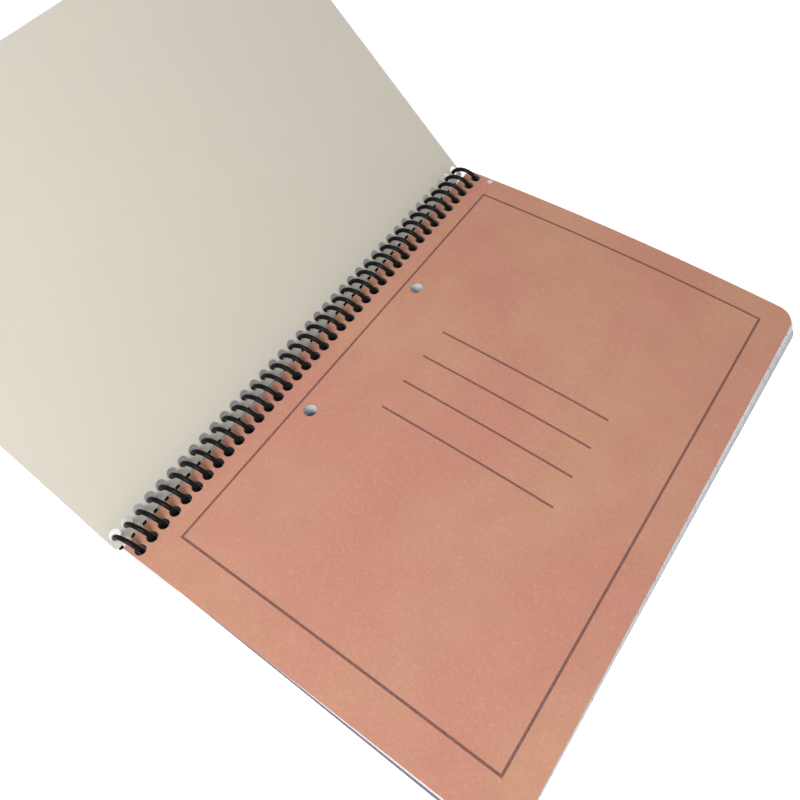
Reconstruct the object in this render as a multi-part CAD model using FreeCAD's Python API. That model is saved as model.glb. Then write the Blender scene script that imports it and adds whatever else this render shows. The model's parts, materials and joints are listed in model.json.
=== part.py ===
import FreeCAD, Part
import math
import os

# Spiral notebook turned to its title sheet, with the front cover standing half open.
# Lengths are in mm and angles in degrees. The pieces are drawn in the book's own frame: x runs from
# the title sheet's spine edge to its fore edge, y up the page along the spine, and z up from the
# title sheet's top face at the spine edge. settle() then tips the whole book on to the ground.

# Driving dimensions: paper and card
PAGE_WIDTH = 176.0
PAGE_HEIGHT = 250.0
BLOCK_THICKNESS = 5.0
SHEET_THICKNESS = 0.3
COVER_THICKNESS = 0.7
SHEET_ARCH = 3.0
CORNER_RADIUS = 8.0
SPINE_CORNER_RADIUS = 1.5

# Driving dimensions: coil and the holes it runs through
HOLE_PITCH = 6.4
HOLE_DIAMETER = 4.8
HOLE_END_MARGIN = 3.4
PAGE_HOLE_INSET = 6.4
FRONT_HOLE_INSET = 5.0
BACK_HOLE_INSET = 4.9
WIRE_DIAMETER = 2.1
RING_RADIUS = 6.98
RING_X = 0.03
RING_Z = -2.89
TOP_ADVANCE = 2.4
COIL_END_SHARE = 0.25

# Driving dimensions: front cover as it stands, and the line it turns about
COVER_DIRECTION = 134.4
COVER_HOLE_X = -6.58
COVER_HOLE_Z = 0.60
COVER_SHIFT = -2.0
COVER_NARROWER = 1.0
FRONT_PIVOT_X = -0.35
FRONT_PIVOT_Z = -1.97

# Driving dimensions: how the loose sheets lie, and the marks of use
BLOCK_OVERHANG = 1.3
BLOCK_SPINE_SETBACK = 1.0
FORE_EDGE_FAN = 1.0
BLOCK_SHORTER = 1.2
BLOCK_TURN = -0.45
BACK_COVER_TURN = -0.7
BACK_COVER_SHIFT = 1.0
FILING_HOLE_DIAMETER = 6.0
FILING_HOLE_SPACING = 80.0
FILING_HOLE_INSET = 22.9
FILING_HOLE_RAISE = 3.6
PUNCTURE_DIAMETER = 3.0
PUNCTURE_INSET = 14.2
PUNCTURE_BELOW_EDGE = 2.0
TEAR_WIDTH = 0.5
TEAR_RUN = 1.6

# Sizes that follow from the ones above
BOTTOM_ADVANCE = HOLE_PITCH - TOP_ADVANCE
HOLE_COUNT = 1 + int((PAGE_HEIGHT - 2 * HOLE_END_MARGIN) / HOLE_PITCH + 1e-6)
FIRST_HOLE_Y = -HOLE_PITCH * (HOLE_COUNT - 1) / 2
ARCH_RADIUS = (PAGE_WIDTH ** 2 / 4 + SHEET_ARCH ** 2) / (2 * SHEET_ARCH)
BLOCK_BOTTOM = -SHEET_THICKNESS - BLOCK_THICKNESS
BOOK_BOTTOM = BLOCK_BOTTOM - COVER_THICKNESS
BACK_HOLE_Z = BLOCK_BOTTOM - COVER_THICKNESS / 2
BACK_HOLE_X = RING_X + math.sqrt(RING_RADIUS ** 2 - (BACK_HOLE_Z - RING_Z) ** 2)

# Places of the three rows of holes along the spine, from the middle of each turn's top half
PAGE_ROW_OFFSET = TOP_ADVANCE / 2 + 0.1
FRONT_ROW_OFFSET = -0.11
BACK_ROW_OFFSET = BOTTOM_ADVANCE / 2 + 0.4

# How far cutting shapes reach past the paper
MARGIN = 20.0


def turn_y(index):
    # y of the middle of one turn's top half; the wire then stands centred in the page holes
    return FIRST_HOLE_Y + index * HOLE_PITCH - PAGE_ROW_OFFSET


def rounded_plate(x_near, x_far, y_low, y_high, z_low, z_high, near_radius, far_radius):
    # flat plate with one radius on the two corners at x_near and another on those at x_far
    corner = FreeCAD.Vector(x_near, y_low, z_low)
    plate = Part.makeBox(x_far - x_near, y_high - y_low, z_high - z_low, corner)
    for x, radius in ((x_near, near_radius), (x_far, far_radius)):
        if radius > 0:
            upright = [e for e in plate.Edges if is_upright_at(e, x)]
            plate = plate.makeFillet(radius, upright)
    return plate


def is_upright_at(edge, x):
    # True for a straight edge across the thickness that starts and ends at the given x
    box = edge.BoundBox
    return box.YLength < 1e-6 and box.XLength < 1e-6 and abs(box.XMin - x) < 1e-6


def punched(shape, hole_x, row_offset, z_low, z_high):
    # the shape with one round hole for every turn of the coil
    axis = FreeCAD.Vector(0, 0, 1)
    holes = []
    for index in range(HOLE_COUNT):
        base = FreeCAD.Vector(hole_x, turn_y(index) + row_offset, z_low)
        holes.append(Part.makeCylinder(HOLE_DIAMETER / 2, z_high - z_low, base, axis))
    return shape.cut(Part.makeCompound(holes))


def arch_point(radius, x):
    # point on a cylinder about the sheets' common arch axis, radius measured from that axis
    centre_z = SHEET_ARCH - ARCH_RADIUS
    return FreeCAD.Vector(x, 0, centre_z + math.sqrt(radius ** 2 - (x - PAGE_WIDTH / 2) ** 2))


def arch_edge(radius):
    # arc of the arch across the page and a little past both of its edges
    places = (-MARGIN, PAGE_WIDTH / 2, PAGE_WIDTH + MARGIN)
    return Part.Arc(*[arch_point(radius, x) for x in places]).toShape()


def along_spine(face, low, high):
    # prism of a face in the xz plane, from y = low to y = high
    face.translate(FreeCAD.Vector(0, low, 0))
    return face.extrude(FreeCAD.Vector(0, high - low, 0))


def below_arch(radius, z_low):
    # everything between a level plane and the arch of the given radius
    top = arch_edge(radius)
    left, right = arch_point(radius, -MARGIN), arch_point(radius, PAGE_WIDTH + MARGIN)
    foot_left = FreeCAD.Vector(left.x, 0, z_low)
    foot_right = FreeCAD.Vector(right.x, 0, z_low)
    sides = Part.makePolygon([right, foot_right, foot_left, left]).Edges
    face = Part.Face(Part.Wire([top] + sides))
    reach = PAGE_HEIGHT / 2 + MARGIN
    return along_spine(face, -reach, reach)


def turned(shape, angle):
    # the shape turned a little about the middle of the spine, as loose sheets lie on a coil
    shape.rotate(FreeCAD.Vector(0, 0, 0), FreeCAD.Vector(0, 0, 1), angle)
    return shape


def title_sheet():
    # arched kraft sheet: coil holes, and a small puncture torn through to the top edge
    z_low, z_high = -2 * SHEET_THICKNESS, 2 * SHEET_ARCH
    half = PAGE_HEIGHT / 2
    skin = below_arch(ARCH_RADIUS, z_low - MARGIN)
    skin = skin.cut(below_arch(ARCH_RADIUS - SHEET_THICKNESS, z_low - 2 * MARGIN))
    outline = rounded_plate(0, PAGE_WIDTH, -half, half, z_low, z_high, 0, CORNER_RADIUS)
    sheet = punched(skin.common(outline), PAGE_HOLE_INSET, PAGE_ROW_OFFSET, z_low, z_high)
    centre = FreeCAD.Vector(PUNCTURE_INSET, half - PUNCTURE_BELOW_EDGE, z_low)
    up = FreeCAD.Vector(0, 0, z_high - z_low)
    puncture = Part.makeCylinder(PUNCTURE_DIAMETER / 2, up.z, centre)
    run = FreeCAD.Vector(TEAR_RUN, 2 * PUNCTURE_BELOW_EDGE, 0)
    width = FreeCAD.Vector(TEAR_WIDTH, 0, 0)
    tear = Part.makePolygon([centre, centre + run, centre + run + width, centre + width, centre])
    return sheet.cut(Part.makeCompound([puncture, Part.Face(tear).extrude(up)]))


def page_block():
    # ruled sheets as one solid: flat below, arched above, with a fanned fore edge
    half = PAGE_HEIGHT / 2
    far = PAGE_WIDTH + BLOCK_OVERHANG
    near = BLOCK_SPINE_SETBACK
    top_z = 2 * SHEET_ARCH
    slope = FORE_EDGE_FAN / BLOCK_THICKNESS
    far_top = far - slope * (top_z - BLOCK_BOTTOM)
    points = [(near, BLOCK_BOTTOM), (far, BLOCK_BOTTOM), (far_top, top_z), (near, top_z)]
    corners = [FreeCAD.Vector(x, 0, z) for x, z in points]
    face = Part.Face(Part.makePolygon(corners + corners[:1]))
    prism = along_spine(face, BLOCK_SHORTER - half, half)
    fore = [e for e in prism.Edges if e.BoundBox.YLength < 1e-6 and e.BoundBox.XMin > PAGE_WIDTH / 2]
    prism = turned(prism.makeFillet(CORNER_RADIUS, fore), BLOCK_TURN)
    block = prism.common(below_arch(ARCH_RADIUS - SHEET_THICKNESS, BLOCK_BOTTOM - MARGIN))
    return punched(block, PAGE_HOLE_INSET, PAGE_ROW_OFFSET, BLOCK_BOTTOM - 1, top_z)


def back_cover():
    # card cover lying flat under the block, turned a little more than it
    half = PAGE_HEIGHT / 2
    near = BACK_HOLE_X - BACK_HOLE_INSET
    low, high = BACK_COVER_SHIFT - half, BACK_COVER_SHIFT + half
    plate = rounded_plate(near, near + PAGE_WIDTH, low, high, BOOK_BOTTOM, BLOCK_BOTTOM,
                          SPINE_CORNER_RADIUS, CORNER_RADIUS)
    plate = turned(plate, BACK_COVER_TURN)
    return punched(plate, BACK_HOLE_X, BACK_ROW_OFFSET, BOOK_BOTTOM - 1, BLOCK_BOTTOM + 1)


def front_cover():
    # card cover drawn flat, hole row on the origin, then stood up at its angle on the coil
    half, skin = PAGE_HEIGHT / 2, COVER_THICKNESS / 2
    near = -FRONT_HOLE_INSET
    low, high = COVER_SHIFT - half, COVER_SHIFT + half
    plate = rounded_plate(near, near + PAGE_WIDTH - COVER_NARROWER, low, high, -skin, skin,
                          SPINE_CORNER_RADIUS, CORNER_RADIUS)
    plate = punched(plate, 0, FRONT_ROW_OFFSET, -1, 1)
    plate.rotate(FreeCAD.Vector(0, 0, 0), FreeCAD.Vector(0, 1, 0), -COVER_DIRECTION)
    plate.translate(FreeCAD.Vector(COVER_HOLE_X, 0, COVER_HOLE_Z))
    return plate


def half_turn(start, end, rise):
    # half circle between two points at the ring's mid height, over the top or under the bottom
    middle = (start + end) * 0.5
    crest = middle + FreeCAD.Vector(0, 0, rise * (end - start).Length / 2)
    return Part.Arc(start, crest, end)


def part_of(arc, share_from, share_to):
    # stretch of an arc between two shares of its length
    first, last = arc.FirstParameter, arc.LastParameter
    span = last - first
    return arc.toShape().Curve.toShape(first + share_from * span, first + share_to * span)


def coil_path():
    # right-handed coil: half circles over the top from left to right, under the book and back
    half_top = TOP_ADVANCE / 2
    left = [FreeCAD.Vector(RING_X - RING_RADIUS, turn_y(i) - half_top, RING_Z)
            for i in range(HOLE_COUNT + 1)]
    right = [FreeCAD.Vector(RING_X + RING_RADIUS, turn_y(i) + half_top, RING_Z)
             for i in range(-1, HOLE_COUNT)]
    edges = [part_of(half_turn(right[0], left[0], -1), 1 - COIL_END_SHARE, 1.0)]
    for index in range(HOLE_COUNT):
        edges.append(half_turn(left[index], right[index + 1], 1).toShape())
        if index < HOLE_COUNT - 1:
            edges.append(half_turn(right[index + 1], left[index + 1], -1).toShape())
    edges.append(part_of(half_turn(right[-1], left[-1], -1), 0.0, COIL_END_SHARE))
    return edges


def spiral_coil():
    # round wire swept along the coil's path, square-cut at both ends
    path = Part.Wire(coil_path())
    start = path.Edges[0]
    along = start.tangentAt(start.FirstParameter)
    ring = Part.Circle(start.valueAt(start.FirstParameter), along, WIRE_DIAMETER / 2).toShape()
    return path.makePipeShell([Part.Wire(ring)], True, True)


def resting_tilt():
    # tilt about y at which the coil's underside and the back cover's fore edge stand level
    ring = math.hypot(RING_RADIUS, BOTTOM_ADVANCE / 2) + WIRE_DIAMETER / 2
    half_turned = math.radians(abs(BACK_COVER_TURN))
    reach = PAGE_HEIGHT / 2 + BACK_COVER_SHIFT
    far = BACK_HOLE_X - BACK_HOLE_INSET + PAGE_WIDTH + reach * math.sin(half_turned)
    run, drop = far - RING_X, RING_Z - BOOK_BOTTOM
    return math.degrees(math.asin(ring / math.hypot(run, drop)) - math.atan2(drop, run))


def settle(pieces):
    # placement that tips the book by its resting tilt and sets it on z = 0, centred on the origin
    turn = FreeCAD.Rotation(FreeCAD.Vector(0, 1, 0), resting_tilt())
    tip = FreeCAD.Placement(FreeCAD.Vector(0, 0, 0), turn)
    tipped = Part.makeCompound([p.transformed(tip.toMatrix(), copy=True) for p in pieces])
    box = tipped.optimalBoundingBox(False)
    tip.Base = FreeCAD.Vector(-(box.XMin + box.XMax) / 2, -(box.YMin + box.YMax) / 2, -box.ZMin)
    return tip


def filing_holes(placement, reach):
    # two upright round holes through the sheets, for a ring binder
    cutters = []
    for side in (-1, 1):
        y = FILING_HOLE_RAISE + side * FILING_HOLE_SPACING / 2
        place = placement.multVec(FreeCAD.Vector(FILING_HOLE_INSET, y, 0))
        base = FreeCAD.Vector(place.x, place.y, place.z - reach)
        cutters.append(Part.makeCylinder(FILING_HOLE_DIAMETER / 2, 2 * reach, base))
    return Part.makeCompound(cutters)


def main():
    pieces = {
        "title_sheet": title_sheet(),
        "page_block": page_block(),
        "spiral_coil": spiral_coil(),
        "front_cover": front_cover(),
        "back_cover": back_cover(),
    }
    placement = settle(list(pieces.values()))
    drilled = filing_holes(placement, MARGIN)
    os.makedirs("parts", exist_ok=True)
    for name, shape in pieces.items():
        shape = shape.transformed(placement.toMatrix(), copy=True)
        if name in ("title_sheet", "page_block"):
            shape = shape.cut(drilled)
        shape.exportStep("parts/" + name + ".step")


main()
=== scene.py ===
"""Spiral notebook turned to its title sheet: coil, papers, covers and a plain studio stage."""

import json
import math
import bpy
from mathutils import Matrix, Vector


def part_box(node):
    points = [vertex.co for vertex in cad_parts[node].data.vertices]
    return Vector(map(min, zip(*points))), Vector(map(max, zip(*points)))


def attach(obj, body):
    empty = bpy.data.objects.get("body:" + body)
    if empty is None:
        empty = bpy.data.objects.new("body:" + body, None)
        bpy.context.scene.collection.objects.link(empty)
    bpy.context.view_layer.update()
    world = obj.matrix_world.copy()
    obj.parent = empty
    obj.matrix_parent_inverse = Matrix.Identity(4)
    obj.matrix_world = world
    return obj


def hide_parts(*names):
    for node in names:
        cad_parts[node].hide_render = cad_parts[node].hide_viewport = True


bl_info = {
    "name": "Spiral notebook",
    "version": (1, 0, 0),
    "blender": (4, 5, 0),
    "location": "View3D > Sidebar > Notebook",
    "description": "Dresses the notebook's solids: kraft sheet, ruled pages, card covers, coated coil",
    "category": "Object",
}

import bpy
import numpy as np

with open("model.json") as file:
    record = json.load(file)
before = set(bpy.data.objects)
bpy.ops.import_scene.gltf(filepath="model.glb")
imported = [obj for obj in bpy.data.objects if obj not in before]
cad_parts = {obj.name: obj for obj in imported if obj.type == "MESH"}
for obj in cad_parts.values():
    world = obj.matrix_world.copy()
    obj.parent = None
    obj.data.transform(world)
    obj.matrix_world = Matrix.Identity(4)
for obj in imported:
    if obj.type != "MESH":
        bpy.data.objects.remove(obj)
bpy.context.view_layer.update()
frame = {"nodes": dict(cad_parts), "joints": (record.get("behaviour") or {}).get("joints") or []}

MM = 0.001

# The book's own frame: x from the title sheet's spine edge, y along the spine, z up from the sheet.
BOOK_TILT = math.radians(1.6649)
RING_IN_BOOK = (0.03 * MM, -2.89 * MM)
SPINE_MIDDLE_Y = 0.5232 * MM

# The coil, in book millimetres.
TURNS = 39
PITCH = 6.4
TOP_ADVANCE = 2.4
FIRST_TURN_Y = -122.9
RING_RADIUS = 6.98
END_SHARE = 0.25

# Width of the title sheet and both covers, in mm, where the fore edge's marks start.
PAGE_WIDTH = 176.0

# The front cover's standing angle, and the middle of its holes in book mm.
COVER_DIRECTION = math.radians(134.4)
COVER_HOLE = (-6.58, 0.60)


def srgb(text, alpha=1.0):
    """Linear colour of an sRGB hex value, by the standard's curve."""
    parts = [int(text[i:i + 2], 16) / 255 for i in (1, 3, 5)]
    linear = [c / 12.92 if c <= 0.04045 else ((c + 0.055) / 1.055) ** 2.4 for c in parts]
    return (*linear, alpha)


def joint_place(name):
    """Position of one of the frame's joints, in metres."""
    return next(j["pos_m"] for j in frame["joints"] if j["name"] == name)


def book_origin():
    """Where the book frame's origin lies: the coil's axis less its tilted place in the book."""
    ring = joint_place("back_cover_hinge")
    x, z = RING_IN_BOOK
    cosine, sine = math.cos(BOOK_TILT), math.sin(BOOK_TILT)
    return (ring[0] - (x * cosine + z * sine), SPINE_MIDDLE_Y, ring[2] - (z * cosine - x * sine))


def to_ground(points):
    """Book millimetres to ground metres: a turn by the tilt about y, then the book's origin."""
    cosine, sine = math.cos(BOOK_TILT), math.sin(BOOK_TILT)
    turn = np.array([[cosine, 0, sine], [0, 1, 0], [-sine, 0, cosine]])
    return points * MM @ turn.T + np.array(book_origin())


# Settings


class NotebookPaperSettings(bpy.types.PropertyGroup):
    """Colours and print of the title sheet and the ruled pages."""

    kraft: bpy.props.StringProperty(
        name="Kraft", description="Colour of the title sheet", default="#CC987E")
    kraft_dark: bpy.props.StringProperty(
        name="Kraft fibre", description="Colour of its darker fibres", default="#B9836C")
    kraft_rosy: bpy.props.StringProperty(
        name="Kraft, rosy", description="Colour of its rosier clouds", default="#C98C7A")
    kraft_light: bpy.props.StringProperty(
        name="Kraft fleck", description="Colour of its lighter flecks", default="#DBA68D")
    ink: bpy.props.StringProperty(name="Ink", description="Colour of the printed lines", default="#704E4C")
    page: bpy.props.StringProperty(name="Page", description="Colour of the ruled pages", default="#E6E7EB")
    frame_line: bpy.props.FloatProperty(
        name="Frame line", description="Width of the printed frame's line in mm", default=1.05, min=0.1)
    name_line: bpy.props.FloatProperty(
        name="Name line", description="Width of the blank lines in mm", default=0.95, min=0.1)


class NotebookCoverSettings(bpy.types.PropertyGroup):
    """Colours of the card covers."""

    inside: bpy.props.StringProperty(
        name="Inside", description="Colour of the unprinted inside", default="#D9D3C6")
    outside: bpy.props.StringProperty(
        name="Outside", description="Colour of the coated outside", default="#6A5C66")
    worn: bpy.props.StringProperty(
        name="Worn edge", description="Colour of the back cover's worn fore edge", default="#CFCFD6")
    back_inside: bpy.props.StringProperty(
        name="Back inside", description="Colour of the back cover's inside", default="#7A727D")
    core: bpy.props.StringProperty(
        name="Cut edge", description="Colour of the front cover's cut edge", default="#D8C6C6")
    back_core: bpy.props.StringProperty(
        name="Back cut edge", description="Colour of the back cover's cut edge", default="#6E6470")


class NotebookCoilSettings(bpy.types.PropertyGroup):
    """Wire of the coil."""

    wire: bpy.props.FloatProperty(
        name="Wire", description="Diameter of the coated wire in mm", default=2.1, min=0.2)
    coating: bpy.props.StringProperty(
        name="Coating", description="Colour of the wire's coating", default="#090B0B")
    sides: bpy.props.IntProperty(name="Sides", description="Flats round the wire", default=12, min=6)
    steps: bpy.props.IntProperty(name="Steps", description="Steps along a half turn", default=16, min=6)


class NotebookStageSettings(bpy.types.PropertyGroup):
    """Floor, light and camera."""

    floor: bpy.props.StringProperty(name="Floor", description="Colour of the floor", default="#FFFFFF")
    floor_lift: bpy.props.FloatProperty(
        name="Floor lift", description="Light added to the floor as the camera sees it", default=0.64)
    focal: bpy.props.FloatProperty(
        name="Focal length", description="Lens in mm", default=37.81, min=1.0, unit="CAMERA")
    key: bpy.props.FloatProperty(
        name="Key light", description="Power of the large lamp in W", default=6.0, unit="POWER")
    fill: bpy.props.FloatProperty(
        name="Sky", description="Strength of the even light", default=0.37, min=0.0)


# Node and material helpers


def fill(tree, item, links):
    """Fills a node's inputs with values or from sockets, in the inputs' order or by number or name."""
    pairs = links.items() if isinstance(links, dict) else enumerate(links)
    for key, value in pairs:
        socket = item.inputs[key]
        if isinstance(value, bpy.types.NodeSocket):
            tree.links.new(value, socket)
        else:
            socket.default_value = value


def add(tree, kind, links=(), output=0, **settings):
    """Adds a shader node with its settings and links, and gives one of its output sockets."""
    item = tree.nodes.new("ShaderNode" + kind)
    for key, value in settings.items():
        setattr(item, key, value)
    fill(tree, item, links)
    return item.outputs[output]


def blank_material(name):
    """New material with only its surface shader, and that shader."""
    material = bpy.data.materials.new(name)
    material.use_nodes = True
    shader = material.node_tree.nodes["Principled BSDF"]
    return material, material.node_tree, shader


def book_place(tree):
    """Vector socket of a point's place in the book's frame, in millimetres."""
    turned = add(tree, "Mapping", {
        "Vector": add(tree, "TexCoord", output="Object"),
        "Location": book_origin(),
        "Rotation": (0, BOOK_TILT, 0),
    }, vector_type="TEXTURE")
    return add(tree, "VectorMath", {0: turned, "Scale": 1 / MM}, operation="SCALE")


def grains(tree, place, size, detail=2.0, stretch=(1, 1, 1), roughness=0.5):
    """Pattern of grains about `size` mm wide, drawn on a place that is stretched along its axes."""
    stretched = add(tree, "VectorMath", (place, stretch), operation="MULTIPLY")
    return add(tree, "TexNoise", {
        "Vector": stretched, "Scale": 1 / size, "Detail": detail, "Roughness": roughness}, "Fac")


def tinted(tree, base, pattern, strength, colour):
    """Base colour with another laid over it, by the pattern's value times the strength."""
    share = add(tree, "Math", (pattern, strength), operation="MULTIPLY")
    return add(tree, "Mix", {0: share, 6: base, 7: colour}, 2, data_type="RGBA")


def line_offset(tree, value, spacing):
    """Offset from the nearest of evenly spaced lines, in spacings: the count less its rounded value."""
    count = add(tree, "Math", (value, spacing), operation="DIVIDE")
    whole = add(tree, "Math", (count,), operation="ROUND")
    return add(tree, "Math", (count, whole), operation="SUBTRACT")


def rectangle_distance(tree, x, y, low, high):
    """Distance outside (positive) or inside (negative) a rectangle: the larger of both axes' overrun."""
    overruns = []
    for value, first, last in ((x, low[0], high[0]), (y, low[1], high[1])):
        offset = add(tree, "Math", (value, (first + last) / 2), operation="SUBTRACT")
        size = add(tree, "Math", (offset,), operation="ABSOLUTE")
        overruns.append(add(tree, "Math", (size, (last - first) / 2), operation="SUBTRACT"))
    return add(tree, "Math", overruns, operation="MAXIMUM")


def seen_rays(tree):
    """1 for rays from the camera, a mirror-like or a clear surface, and 0 for all others."""
    seen = add(tree, "LightPath", output="Is Camera Ray")
    for name in ("Is Glossy Ray", "Is Transmission Ray"):
        other = add(tree, "LightPath", output=name)
        seen = add(tree, "Math", (seen, other), operation="MAXIMUM")
    return seen


# Title sheet

# Print on the title sheet, in book millimetres.
PRINT_FRAME_LOW = (16.7, -108.7)
PRINT_FRAME_HIGH = (163.1, 113.1)
NAME_LINES_X = (48.0, 131.2)
NAME_LINES_MIDDLE_Y = 5.2
NAME_LINE_SPACING = 15.5
NAME_LINE_COUNT = 4
INK_SOFTNESS = 0.35
NAME_LINE_REACH = 2.0
LINE_END_SOFTNESS = 0.1

# Sizes of the paper's clouds, bands, fibres, flecks and ink grain, in mm. Real fibres are finer than
# the picture shows, so they are drawn as coarse as they need to be seen.
CLOUD_SIZE = 14.0
BAND_SIZE = 55.0
FIBRE_SIZE = 0.8
FLECK_SIZE = 1.1
INK_GRAIN = 0.7
FIBRE_RELIEF = 0.03

# How strongly each pattern's colour lies over the kraft.
CLOUD_STRENGTH = 0.3
FIBRE_STRENGTH = 0.3
FLECK_STRENGTH = 0.35


def stroke(tree, distance, width):
    """Ink share of a line along distance 0: full inside half its width, fading over the softness."""
    off = add(tree, "Math", (distance,), operation="ABSOLUTE")
    return add(tree, "MapRange", (off, (width - INK_SOFTNESS) / 2, (width + INK_SOFTNESS) / 2, 1.0, 0.0))


def printed_lines(tree, x, y, settings):
    """Ink share of the printed frame and the evenly spaced blank lines."""
    frame_edge = rectangle_distance(tree, x, y, PRINT_FRAME_LOW, PRINT_FRAME_HIGH)
    frame_ink = stroke(tree, frame_edge, settings.frame_line)
    first = NAME_LINES_MIDDLE_Y - NAME_LINE_SPACING * (NAME_LINE_COUNT - 1) / 2
    last = first + NAME_LINE_SPACING * (NAME_LINE_COUNT - 1)
    from_first = add(tree, "Math", (y, first), operation="SUBTRACT")
    share = line_offset(tree, from_first, NAME_LINE_SPACING)
    off = add(tree, "Math", (share, NAME_LINE_SPACING), operation="MULTIPLY")
    low = (NAME_LINES_X[0], first - NAME_LINE_REACH)
    high = (NAME_LINES_X[1], last + NAME_LINE_REACH)
    area = rectangle_distance(tree, x, y, low, high)
    inside = add(tree, "MapRange", (area, -LINE_END_SOFTNESS, LINE_END_SOFTNESS, 1.0, 0.0))
    name_stroke = stroke(tree, off, settings.name_line)
    name_ink = add(tree, "Math", (name_stroke, inside), operation="MULTIPLY")
    return add(tree, "Math", (frame_ink, name_ink), operation="MAXIMUM")


def kraft_paper(settings):
    """Recycled kraft paper, pressed and unglazed: pinkish brown, clouded, with short fibres and flecks."""
    material, tree, shader = blank_material("kraft_paper_printed")
    place = book_place(tree)
    x = add(tree, "SeparateXYZ", (place,), "X")
    y = add(tree, "SeparateXYZ", (place,), "Y")
    clouds = add(tree, "MapRange", (grains(tree, place, CLOUD_SIZE, 3.0), 0.3, 0.7))
    fibres = grains(tree, place, FIBRE_SIZE, 3.0, (1.0, 0.8, 1.0), 0.6)
    fibres = add(tree, "MapRange", (fibres, 0.35, 0.68))
    flecks = grains(tree, place, FLECK_SIZE, 2.0, (0.8, 1.0, 1.0))
    flecks = add(tree, "MapRange", (flecks, 0.5, 0.75))
    bands = grains(tree, place, BAND_SIZE, 2.0, (1.0, 0.7, 1.0))
    bands = add(tree, "MapRange", (bands, 0.38, 0.62))
    base = tinted(tree, srgb(settings.kraft), bands, 1.0, srgb(settings.kraft_rosy))
    base = tinted(tree, base, clouds, CLOUD_STRENGTH, srgb(settings.kraft_dark))
    base = tinted(tree, base, fibres, FIBRE_STRENGTH, srgb(settings.kraft_dark))
    base = tinted(tree, base, flecks, FLECK_STRENGTH, srgb(settings.kraft_light))
    uneven = add(tree, "MapRange", (grains(tree, place, INK_GRAIN), 0.25, 0.6, 0.72, 0.95))
    base = tinted(tree, base, printed_lines(tree, x, y, settings), uneven, srgb(settings.ink))
    fill(tree, shader, {
        "Base Color": base,
        "Roughness": 0.85,
        "Specular IOR Level": 0.25,
        "Normal": add(tree, "Bump", {"Height": fibres, "Distance": FIBRE_RELIEF * MM, "Strength": 0.35}),
    })
    return material


# Ruled pages

# Spacing of the ruled lines and height of one drawn layer of leaves, in mm. A real leaf is 0.1 mm,
# too fine to show, so the layers are drawn coarser.
RULE_SPACING = 7.0
SHEET_LAYER = 0.28
SPECK_GRAIN = 0.8
LAYER_RELIEF = 0.15
LAYER_SHADE = "#8D9299"
RULE_INK = "#5A5C6A"
# Colour of the painted shade at the coil's holes and on the spine side.
HOLE_SHADE_COLOUR = "#34363A"

# The rules' ends show on the fore edge only, from 2 to 1 mm inside it.
FORE_EDGE_FROM, FORE_EDGE_TO = PAGE_WIDTH - 2.0, PAGE_WIDTH - 1.0

# From the spine side to just past the coil's holes, the paper is darkened with painted shade for the shadow
# in the holes and on the spine side.
HOLE_SHADE_FROM, HOLE_SHADE_TO = 3.4, 9.2
HOLE_SHADE_FADE = 0.4


def ruled_pages(settings):
    """Offset paper cut in a stack: pale grey, layered on its cut sides, with the rules' ends as specks and
    painted shade at the coil's holes.
    """
    material, tree, shader = blank_material("ruled_page_stack")
    place = book_place(tree)
    x = add(tree, "SeparateXYZ", (place,), "X")
    y = add(tree, "SeparateXYZ", (place,), "Y")
    layers = grains(tree, place, 1.0, 3.0, (0.03, 0.03, 1 / SHEET_LAYER), 0.6)
    shade = add(tree, "MapRange", (layers, 0.3, 0.7, 0.0, 0.3))
    base = tinted(tree, srgb(settings.page), shade, 1.0, srgb(LAYER_SHADE))
    off = add(tree, "Math", (line_offset(tree, y, RULE_SPACING),), operation="ABSOLUTE")
    speck = add(tree, "MapRange", (off, 0.02, 0.055, 0.7, 0.0))
    at_edge = add(tree, "MapRange", (x, FORE_EDGE_FROM, FORE_EDGE_TO))
    patchy = add(tree, "MapRange", (grains(tree, place, SPECK_GRAIN), 0.42, 0.58))
    speck = add(tree, "Math", (speck, at_edge), operation="MULTIPLY")
    base = tinted(tree, base, speck, patchy, srgb(RULE_INK))
    # Painted shade: the paper darkens from the spine side to just past the coil's holes.
    painted_shade = add(tree, "MapRange", (x, HOLE_SHADE_FROM, HOLE_SHADE_FROM + HOLE_SHADE_FADE, 0.35, 0.75))
    at_holes = add(tree, "Math", (x, HOLE_SHADE_TO), operation="LESS_THAN")
    base = tinted(tree, base, painted_shade, at_holes, srgb(HOLE_SHADE_COLOUR))
    fill(tree, shader, {
        "Base Color": base,
        "Roughness": 0.8,
        "Specular IOR Level": 0.3,
        "Normal": add(tree, "Bump", {"Height": layers, "Distance": LAYER_RELIEF * MM, "Strength": 0.5}),
    })
    return material


# Covers

# Sizes of the card's fibres and clouds, its relief and half its drawn core, in mm.
CARD_FIBRE = 0.9
CARD_CLOUD = 30.0
CARD_RELIEF = 0.02
HALF_CORE = 0.3
OUTSIDE_FIBRE = "#7A6C76"

# Clouds and fibres of the cream inside and of the grey-purple one, beside their main colours.
CREAM_TONES = ("#D2D0C3", "#C7C0B2")
GREY_TONES = ("#716A76", "#857D88")

# Where wear starts, from the spine edge in mm, and how far it fades in: only the back cover is worn.
FRONT_WORN_FROM = PAGE_WIDTH
BACK_WORN_FROM = PAGE_WIDTH - 4.0
WEAR_FADE = 2.0


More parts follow.
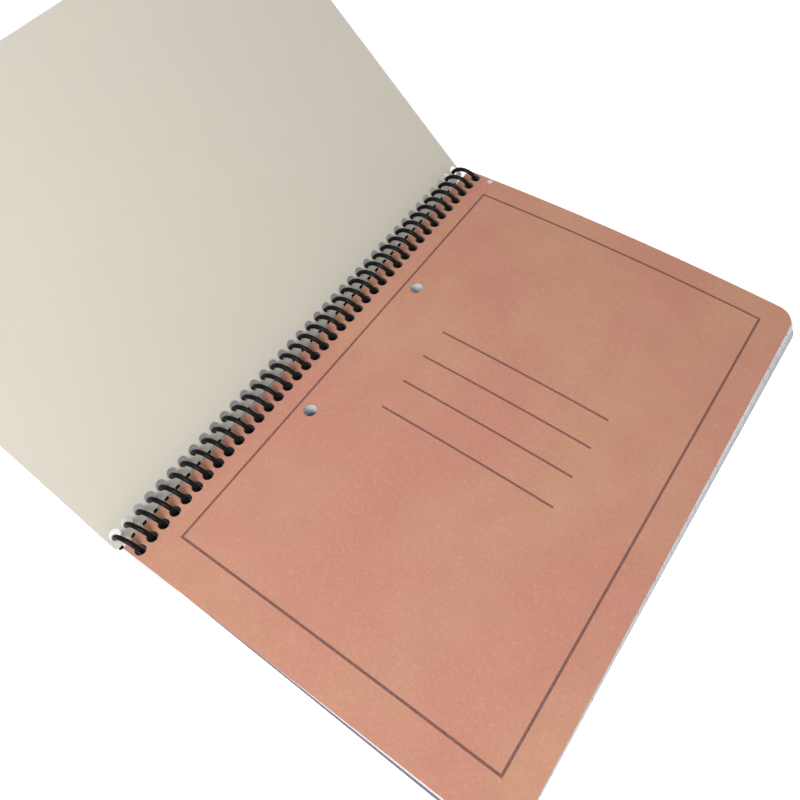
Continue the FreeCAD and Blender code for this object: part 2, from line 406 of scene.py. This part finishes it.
def card(settings, name, inward, level, colours, tones, worn_from):
    """Coated card: plain inside, coated outside, raw core where it is cut, worn pale past worn_from.

    The surface's own direction along the inward normal tells the three apart, and the coating's
    colour runs on to the outer side of the cut edge. `colours` are those of the inside and the
    cut edge, and `tones` those of the inside's clouds and fibres.
    """
    material, tree, shader = blank_material(name)
    normal = add(tree, "TexCoord", output="Normal")
    facing = add(tree, "VectorMath", (normal, inward), "Value", operation="DOT_PRODUCT")
    coordinate = add(tree, "TexCoord", output="Object")
    height = add(tree, "VectorMath", (coordinate, inward), "Value", operation="DOT_PRODUCT")
    place = book_place(tree)
    fibre = grains(tree, place, CARD_FIBRE, 4.0, roughness=0.6)
    fibre = add(tree, "MapRange", (fibre, 0.3, 0.7))
    cloud = add(tree, "MapRange", (grains(tree, place, CARD_CLOUD), 0.3, 0.7))
    inside = tinted(tree, srgb(colours[0]), cloud, 0.3, srgb(tones[0]))
    inside = tinted(tree, inside, fibre, 0.12, srgb(tones[1]))
    outside = tinted(tree, srgb(settings.outside), fibre, 0.15, srgb(OUTSIDE_FIBRE))
    is_inside = add(tree, "Math", (facing, 0.5), operation="GREATER_THAN")
    is_outside = add(tree, "Math", (facing, -0.5), operation="LESS_THAN")
    outer_half = (level - HALF_CORE * MM, level + HALF_CORE * MM)
    core_shade = add(tree, "MapRange", (height, *outer_half, 0.35, 0.0))
    base = tinted(tree, srgb(colours[1]), core_shade, 1.0, srgb(settings.outside))
    base = tinted(tree, base, is_inside, 1.0, inside)
    across = add(tree, "SeparateXYZ", (place,), "X")
    wear = add(tree, "MapRange", (across, worn_from, worn_from + WEAR_FADE, 0.0, 0.85))
    base = tinted(tree, base, wear, 1.0, srgb(settings.worn))
    base = tinted(tree, base, is_outside, 1.0, outside)
    fill(tree, shader, {
        "Base Color": base,
        "Roughness": 0.7,
        "Specular IOR Level": 0.3,
        "Normal": add(tree, "Bump", {"Height": fibre, "Distance": CARD_RELIEF * MM, "Strength": 0.3}),
    })
    return material


# Coil

# Size and depth of the coating's draw marks in mm, and the colour of their ridges.
WIRE_GRAIN = 0.8
WIRE_RELIEF = 0.05
COATING_SHEEN = "#141817"


def coated_wire(settings):
    """Steel wire drawn through black plastic: near black, softly glossy, with fine draw marks."""
    material, tree, shader = blank_material("black_coated_wire")
    grain = grains(tree, book_place(tree), WIRE_GRAIN, 3.0, roughness=0.6)
    ridges = add(tree, "MapRange", (grain, 0.4, 0.75))
    fill(tree, shader, {
        "Base Color": tinted(tree, srgb(settings.coating), ridges, 1.0, srgb(COATING_SHEEN)),
        "Roughness": add(tree, "MapRange", (grain, 0.3, 0.7, 0.18, 0.34)),
        "Specular IOR Level": 0.1,
        "Normal": add(tree, "Bump", {"Height": grain, "Distance": WIRE_RELIEF * MM, "Strength": 0.8}),
    })
    return material


def half_circles(steps):
    """Path of the coil in book mm: half circles over the top and under the bottom, part of one at each end.

    With u the angle of a half turn, x is the ring's radius times the cosine, y moves by half the
    advance times the cosine, and z is the half circle's own radius times the sine.
    """
    runs = []
    for turn in range(2 * TURNS + 1):
        over = turn % 2 == 1
        advance = TOP_ADVANCE if over else PITCH - TOP_ADVANCE
        first = 1 - END_SHARE if turn == 0 else 0.0
        last = END_SHARE if turn == 2 * TURNS else 1.0
        share = np.linspace(first, last, steps, endpoint=turn == 2 * TURNS)
        u = share * math.pi
        radius = math.hypot(RING_RADIUS, advance / 2)
        middle = FIRST_TURN_Y + PITCH * (turn - 1) / 2
        side = -1.0 if over else 1.0
        x = RING_IN_BOOK[0] / MM + side * RING_RADIUS * np.cos(u)
        y = middle - advance / 2 * np.cos(u)
        z = RING_IN_BOOK[1] / MM + (1.0 if over else -1.0) * radius * np.sin(u)
        runs.append(np.stack([x, y, z], 1))
    return np.concatenate(runs)


def tube(points, radius, sides):
    """Vertices and faces of a round tube: at each point a circle across the path's direction.

    The circle's two axes are the outward direction from the coil's axis, made square to the path,
    and their cross product. Both ends are closed with one face.
    """
    along = np.gradient(points, axis=0)
    along /= np.linalg.norm(along, axis=1, keepdims=True)
    out = points - (RING_IN_BOOK[0] / MM, 0, RING_IN_BOOK[1] / MM)
    out[:, 1] = 0
    out -= (out * along).sum(1, keepdims=True) * along
    out /= np.linalg.norm(out, axis=1, keepdims=True)
    side = np.cross(along, out)
    angle = np.linspace(0, 2 * math.pi, sides, endpoint=False)
    ring = np.cos(angle)[None, :, None] * out[:, None] + np.sin(angle)[None, :, None] * side[:, None]
    vertices = (points[:, None] + radius * ring).reshape(-1, 3)
    row, column = np.meshgrid(np.arange(len(points) - 1), np.arange(sides), indexing="ij")
    near, far = row * sides, (row + 1) * sides
    after = (column + 1) % sides
    quads = np.stack([near + column, near + after, far + after, far + column], -1).reshape(-1, 4)
    last = (len(points) - 1) * sides
    caps = [list(range(sides))[::-1], list(range(last, last + sides))]
    return vertices, quads.tolist() + caps


def new_piece(name, vertices, faces, material, smooth=True):
    """Mesh object from points in metres, linked to the scene and finished with a material."""
    mesh = bpy.data.meshes.new(name)
    mesh.from_pydata(vertices.tolist(), [], faces)
    mesh.polygons.foreach_set("use_smooth", np.full(len(mesh.polygons), smooth))
    mesh.materials.append(material)
    mesh.update()
    piece = bpy.data.objects.new(name, mesh)
    bpy.context.scene.collection.objects.link(piece)
    return piece


def finish_node(name, material):
    """Gives a solid of the frame its material in every slot."""
    for slot in frame["nodes"][name].material_slots:
        slot.material = material


# Operators


class NOTEBOOK_OT_title_sheet(bpy.types.Operator):
    """Finish the printed kraft title sheet"""

    bl_idname = "notebook.title_sheet"
    bl_label = "Title sheet"

    def execute(self, context):
        finish_node("title_sheet", kraft_paper(context.scene.notebook_paper))
        return {"FINISHED"}


class NOTEBOOK_OT_page_block(bpy.types.Operator):
    """Finish the stack of ruled pages"""

    bl_idname = "notebook.page_block"
    bl_label = "Page block"

    def execute(self, context):
        finish_node("page_block", ruled_pages(context.scene.notebook_paper))
        return {"FINISHED"}


class NOTEBOOK_OT_covers(bpy.types.Operator):
    """Finish both card covers"""

    bl_idname = "notebook.covers"
    bl_label = "Covers"

    def execute(self, context):
        settings = context.scene.notebook_cover
        turn = COVER_DIRECTION - BOOK_TILT
        raised = (math.sin(turn), 0, -math.cos(turn))
        hole = to_ground(np.array([COVER_HOLE[0], 0, COVER_HOLE[1]]))
        level = float(raised[0] * hole[0] + raised[2] * hole[2])
        colours = (settings.inside, settings.core)
        finish_node("front_cover", card(
            settings, "cream_card_front", raised, level, colours, CREAM_TONES, FRONT_WORN_FROM))
        upward = (math.sin(BOOK_TILT), 0, math.cos(BOOK_TILT))
        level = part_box("back_cover")[1].z
        colours = (settings.back_inside, settings.back_core)
        finish_node("back_cover", card(
            settings, "coated_card_back", upward, level, colours, GREY_TONES, BACK_WORN_FROM))
        return {"FINISHED"}


class NOTEBOOK_OT_coil(bpy.types.Operator):
    """Wind the coated wire through the holes"""

    bl_idname = "notebook.coil"
    bl_label = "Coil"

    def execute(self, context):
        settings = context.scene.notebook_coil
        points = half_circles(settings.steps)
        vertices, faces = tube(points, settings.wire / 2, settings.sides)
        piece = new_piece("coil_wire", to_ground(vertices), faces, coated_wire(settings))
        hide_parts("spiral_coil")
        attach(piece, "book")
        return {"FINISHED"}


# Stage

# Half the side of the square floor, in metres.
FLOOR_REACH = 6.0

# Camera, in ground metres and degrees, and the share of the frame that its axis is shifted by.
CAMERA_PLACE = (0.15804, -0.15149, 0.31886)
CAMERA_TURN = (37.783, 4.227, 35.101)
CAMERA_SHIFT = (-0.01676, -0.10789)
SENSOR_WIDTH = 36.0

# Floor under the spine and the cover's foot: its low and high corner and how far in its shade fades,
# in metres, and the little lift it keeps.
COVER_SHADE = ((-0.06, -0.13), (0.0, 0.13))
SHADE_FADE = 0.006
SHADE_LIFT = 0.06

# Lamps: name, place in metres, size in metres, share of the key light's power.
LAMPS = (
    ("key_softbox", (0.16, -0.60, 0.60), 0.45, 1.0),
    ("side_softbox", (-0.30, 0.80, 1.00), 0.9, 0.2),
)


def floor_material(settings):
    """Matt paper floor: lifted to white as the camera sees it, but not under the spine; shadows stay."""
    material, tree, shader = blank_material("studio_floor")
    tree.nodes.remove(shader)
    output = tree.nodes["Material Output"]
    coordinate = add(tree, "TexCoord", output="Object")
    x = add(tree, "SeparateXYZ", (coordinate,), "X")
    y = add(tree, "SeparateXYZ", (coordinate,), "Y")
    away = rectangle_distance(tree, x, y, *COVER_SHADE)
    reach = add(tree, "MapRange", (away, -SHADE_FADE, 0.0, SHADE_LIFT, settings.floor_lift))
    strength = add(tree, "Math", (seen_rays(tree), reach), operation="MULTIPLY")
    lift = add(tree, "Emission", {"Strength": strength})
    diffuse = add(tree, "BsdfDiffuse", {"Color": srgb(settings.floor)})
    tree.links.new(add(tree, "AddShader", (diffuse, lift)), output.inputs[0])
    return material


def studio_floor(settings):
    """Level square under the book."""
    corners = np.array([(-1, -1), (1, -1), (1, 1), (-1, 1)]) * FLOOR_REACH
    vertices = np.column_stack([corners, np.zeros(4)])
    floor = new_piece("studio_floor", vertices, [[0, 1, 2, 3]], floor_material(settings), smooth=False)


def studio_light(settings):
    """Even pale sky, white to the camera, and large soft lamps aimed at the book."""
    world = bpy.data.worlds.new("studio_sky")
    bpy.context.scene.world = world
    world.use_nodes = True
    tree = world.node_tree
    strength = add(tree, "MapRange", (seen_rays(tree), 0.0, 1.0, settings.fill, 1.0))
    fill(tree, tree.nodes["Background"], {"Color": (1, 1, 1, 1), "Strength": strength})
    for name, place, size, share in LAMPS:
        lamp = bpy.data.lights.new(name, "AREA")
        lamp.size = size
        lamp.energy = settings.key * share
        holder = bpy.data.objects.new(name, lamp)
        holder.location = place
        direction = -np.array(place)
        yaw = math.atan2(direction[1], direction[0]) - math.pi / 2
        pitch = math.atan2(math.hypot(direction[0], direction[1]), -direction[2])
        holder.rotation_euler = (pitch, 0, yaw)
        bpy.context.scene.collection.objects.link(holder)


def studio_camera(settings):
    """Camera above the sheet's lower right, turned as the notebook was seen."""
    lens = bpy.data.cameras.new("camera")
    lens.sensor_width = SENSOR_WIDTH
    lens.lens = settings.focal
    lens.shift_x, lens.shift_y = CAMERA_SHIFT
    lens.clip_start = 0.01
    camera = bpy.data.objects.new("camera", lens)
    camera.location = CAMERA_PLACE
    camera.rotation_euler = [math.radians(a) for a in CAMERA_TURN]
    bpy.context.scene.collection.objects.link(camera)
    bpy.context.scene.camera = camera


class NOTEBOOK_OT_stage(bpy.types.Operator):
    """Lay the floor, hang the lamps and place the camera"""

    bl_idname = "notebook.stage"
    bl_label = "Stage"

    def execute(self, context):
        settings = context.scene.notebook_stage
        studio_floor(settings)
        studio_light(settings)
        studio_camera(settings)
        context.scene.view_settings.view_transform = "Standard"
        return {"FINISHED"}


class NOTEBOOK_PT_pieces(bpy.types.Panel):
    """Lists the notebook's pieces in the sidebar"""

    bl_label = "Notebook"
    bl_space_type = "VIEW_3D"
    bl_region_type = "UI"
    bl_category = "Notebook"

    def draw(self, context):
        for operator in OPERATORS:
            self.layout.operator(operator.bl_idname)
        for name in SETTINGS:
            group = getattr(context.scene, name)
            for key in group.__annotations__:
                self.layout.prop(group, key)


SETTINGS = {
    "notebook_paper": NotebookPaperSettings,
    "notebook_cover": NotebookCoverSettings,
    "notebook_coil": NotebookCoilSettings,
    "notebook_stage": NotebookStageSettings,
}
OPERATORS = (
    NOTEBOOK_OT_title_sheet,
    NOTEBOOK_OT_page_block,
    NOTEBOOK_OT_covers,
    NOTEBOOK_OT_coil,
    NOTEBOOK_OT_stage,
)


def register():
    """Registers the settings, the operators and the panel."""
    for kind in (*SETTINGS.values(), *OPERATORS, NOTEBOOK_PT_pieces):
        bpy.utils.register_class(kind)
    for name, kind in SETTINGS.items():
        setattr(bpy.types.Scene, name, bpy.props.PointerProperty(type=kind))


def unregister():
    """Takes the settings, the operators and the panel out again."""
    for name in SETTINGS:
        delattr(bpy.types.Scene, name)
    for kind in reversed((*SETTINGS.values(), *OPERATORS, NOTEBOOK_PT_pieces)):
        bpy.utils.unregister_class(kind)


def main():
    """Builds the pieces and the stage."""
    register()
    bpy.ops.notebook.title_sheet()
    bpy.ops.notebook.page_block()
    bpy.ops.notebook.covers()
    bpy.ops.notebook.coil()
    bpy.ops.notebook.stage()


if __name__ == "__main__":
    main()
